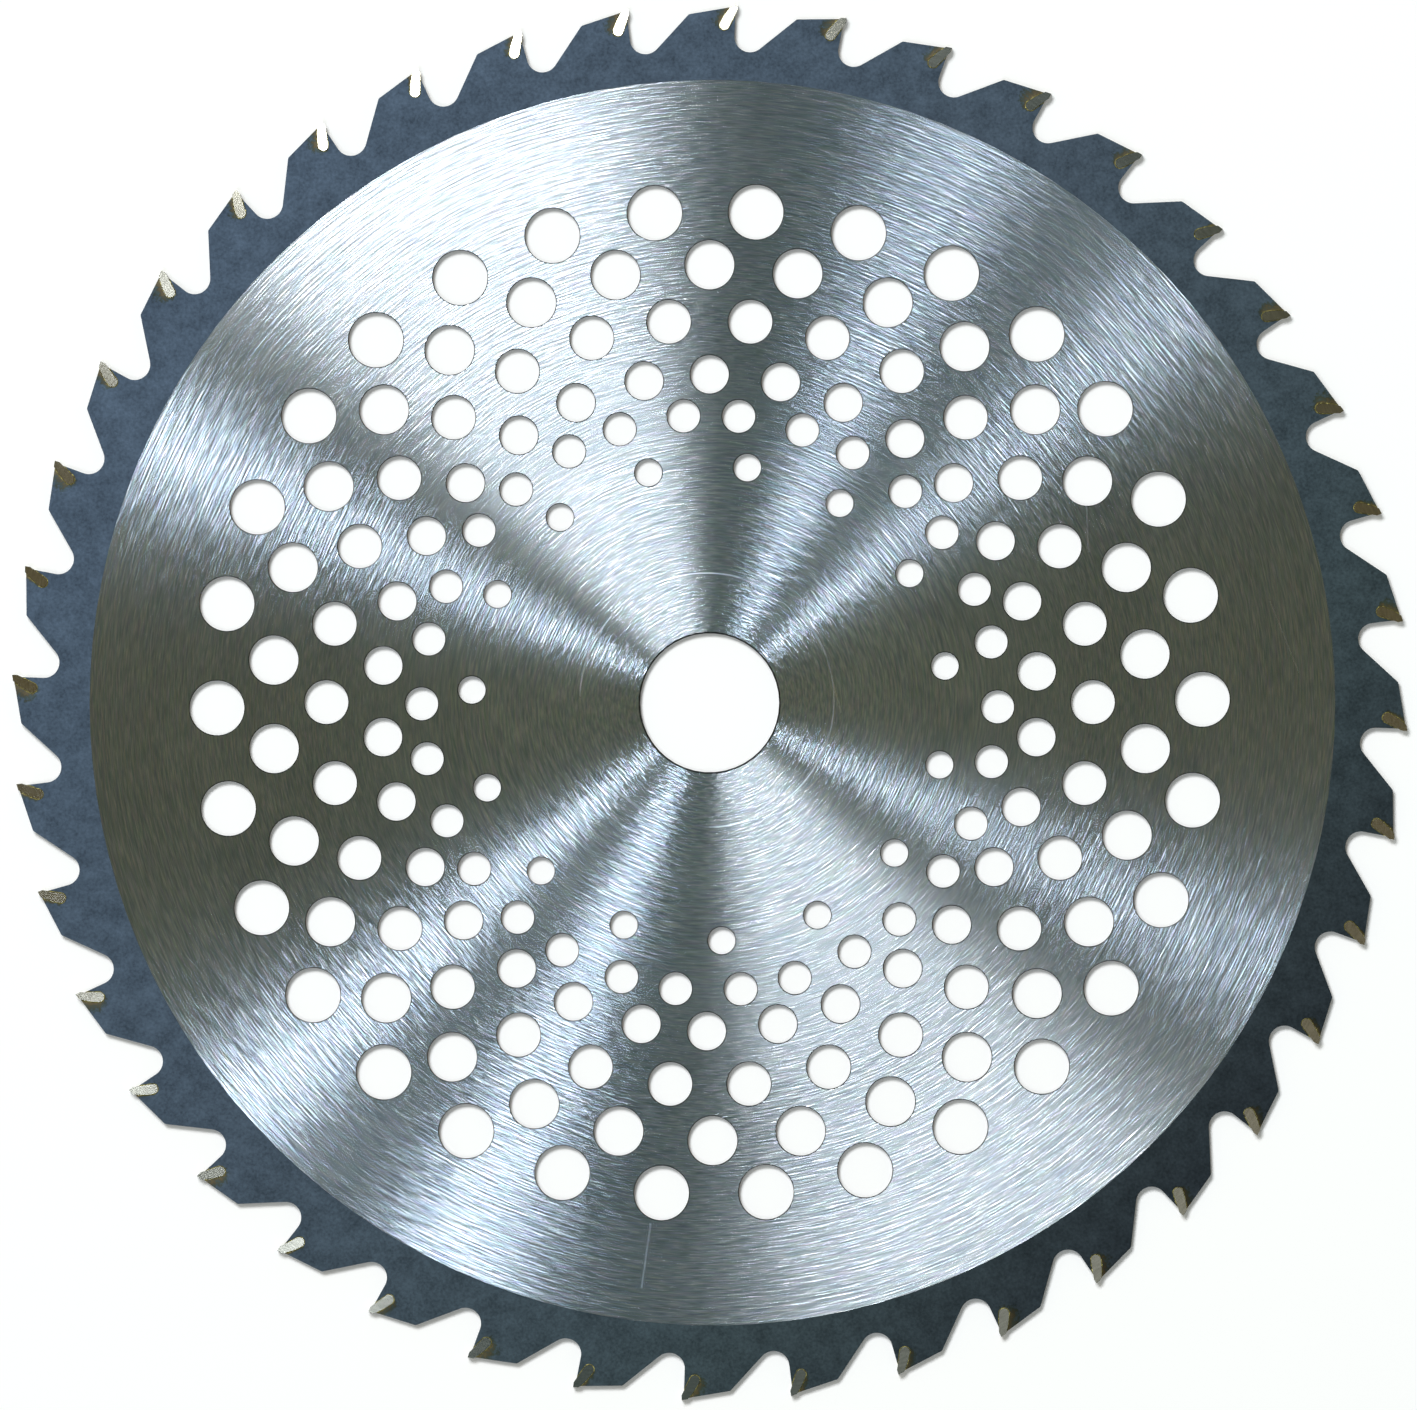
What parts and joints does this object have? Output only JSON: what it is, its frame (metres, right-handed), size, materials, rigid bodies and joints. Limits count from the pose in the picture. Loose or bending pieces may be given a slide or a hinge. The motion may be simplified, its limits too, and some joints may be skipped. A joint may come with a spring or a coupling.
{
  "type": "brush cutter blade",
  "caption": "Round perforated steel brush cutter blade with carbide tips brazed into hooked teeth, rings of lightening holes and a plain centre bore.",
  "frame": {"origin": "centre of the bore, halfway through the plate's thickness", "axes": "+Z along the bore out of the face that shows the teeth facing clockwise; X and Y lie in the plate, with the first tooth about 7 degrees anticlockwise of +X"},
  "size_m": [0.2548, 0.2548, 0.0022],
  "materials": {
    "ground_steel": "face-ground spring steel with fine circular grinding lines, unground blue-black rim",
    "carbide": "ground tungsten carbide, matt grey",
    "braze": "silver braze, straw yellow to brown from the heat"
  },
  "bodies": {
    "root": {"blade_plate": "ground_steel", "tip_01": "carbide", "tip_02": "carbide", "tip_03": "carbide", "tip_04": "carbide", "tip_05": "carbide", "tip_06": "carbide", "tip_07": "carbide", "tip_08": "carbide", "tip_09": "carbide", "tip_10": "carbide", "tip_11": "carbide", "tip_12": "carbide", "tip_13": "carbide", "tip_14": "carbide", "tip_15": "carbide", "tip_16": "carbide", "tip_17": "carbide", "tip_18": "carbide", "tip_19": "carbide", "tip_20": "carbide", "tip_21": "carbide", "tip_22": "carbide", "tip_23": "carbide", "tip_24": "carbide", "tip_25": "carbide", "tip_26": "carbide", "tip_27": "carbide", "tip_28": "carbide", "tip_29": "carbide", "tip_30": "carbide", "tip_31": "carbide", "tip_32": "carbide", "tip_33": "carbide", "tip_34": "carbide", "tip_35": "carbide", "tip_36": "carbide", "tip_37": "carbide", "tip_38": "carbide", "tip_39": "carbide", "tip_40": "carbide", "tip_braze": "braze"}
  },
  "joints": []
}
